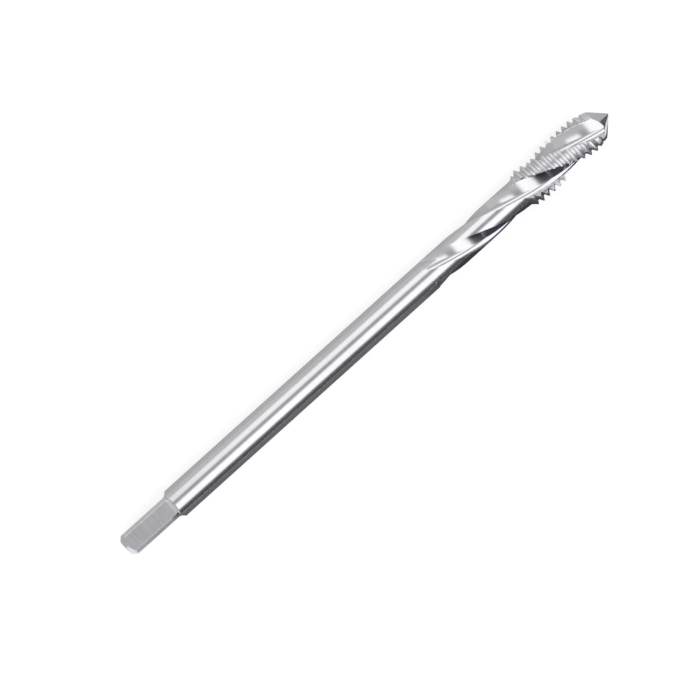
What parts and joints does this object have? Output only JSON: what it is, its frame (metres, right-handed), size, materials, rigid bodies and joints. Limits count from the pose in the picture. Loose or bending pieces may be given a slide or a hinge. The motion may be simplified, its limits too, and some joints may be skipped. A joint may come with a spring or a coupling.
{
  "type": "thread tap",
  "caption": "Long shank machine tap with a square drive, spiral flutes, a right-hand thread with a lead chamfer and a male centre point.",
  "frame": {"origin": "on the tap's axis, at the middle of the end face of the drive square", "axes": "+X along the axis from the drive square to the point, +Z square to the upper flat of the drive square, +Y square to a side flat"},
  "size_m": [0.089, 0.006, 0.006],
  "materials": {
    "ground_steel": "bright ground high-speed steel with fine grinding marks"
  },
  "bodies": {
    "root": {"tap": "ground_steel"}
  },
  "joints": []
}
